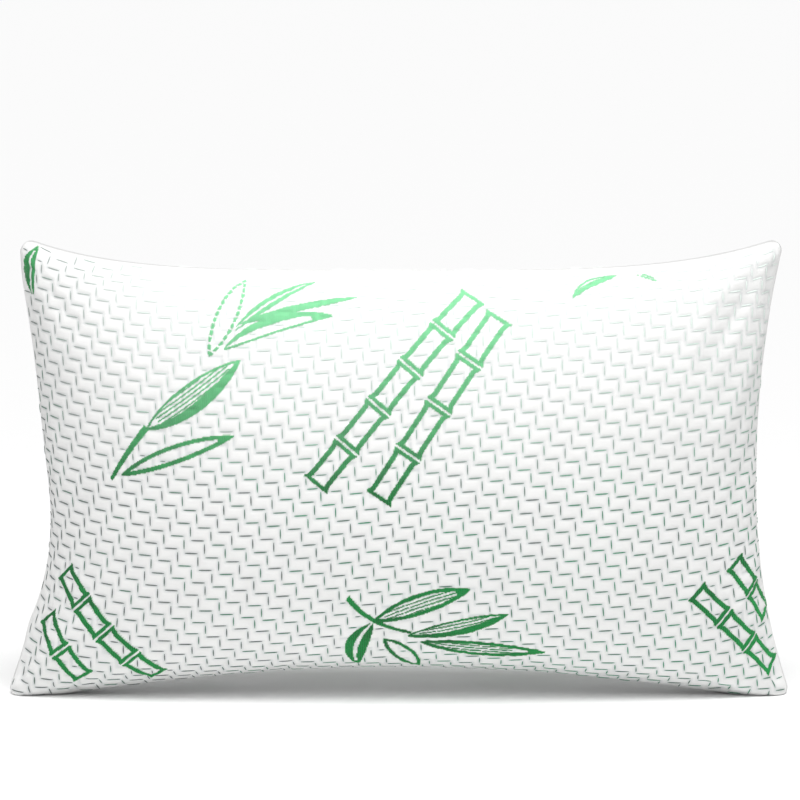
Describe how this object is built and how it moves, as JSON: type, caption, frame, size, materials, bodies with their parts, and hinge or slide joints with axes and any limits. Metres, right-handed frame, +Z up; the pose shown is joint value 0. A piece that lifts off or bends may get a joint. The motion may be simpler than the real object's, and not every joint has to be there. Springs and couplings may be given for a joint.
{
  "type": "bed pillow",
  "caption": "Rectangular bed pillow: zipped stretch-knit cover with leaf motifs over a sewn inner case of shredded foam, standing on its lower corners.",
  "frame": {"origin": "on the floor under the middle of the standing pillow", "axes": "+X along the pillow's length towards the zipped edge, +Z up from the lower corners, the motif side faces -Y"},
  "size_m": [0.7448, 0.176, 0.436],
  "materials": {
    "knit_cover": "matte",
    "plain_liner": "matte",
    "shredded_foam": "matte",
    "polyester_thread": "satin",
    "zip_tape": "matte",
    "nylon_coil": "satin",
    "zinc_slider": "satin",
    "satin_label": "satin"
  },
  "bodies": {
    "pillow": {"cover_front_panel": "knit_cover", "cover_back_panel": "knit_cover", "cover_seam_thread": "polyester_thread", "liner_front_panel": "plain_liner", "liner_back_panel": "plain_liner", "liner_seam_thread": "polyester_thread", "liner_closing_seam": "polyester_thread", "foam_fill": "shredded_foam", "zip_tape_front": "zip_tape", "zip_tape_back": "zip_tape", "zip_coil_front": "nylon_coil", "zip_coil_back": "nylon_coil", "zip_stitch_front": "polyester_thread", "zip_stitch_back": "polyester_thread", "zip_top_stop_front": "nylon_coil", "zip_top_stop_back": "nylon_coil", "zip_bottom_stop": "nylon_coil", "care_label": "satin_label"},
    "slider": {"zip_slider": "zinc_slider"},
    "pull_tab": {"zip_pull_tab": "zinc_slider"}
  },
  "joints": [
    {"name": "zip_slide", "type": "slide", "parent": "pillow", "child": "slider", "axis": [0, 0, 1], "range_m": [-0.238, 0]},
    {"name": "pull_tab_swing", "type": "hinge", "parent": "slider", "child": "pull_tab", "pos_m": [0.34035, 0, 0.3355], "axis": [0, -1, 0], "range_deg": [0, 120]}
  ]
}
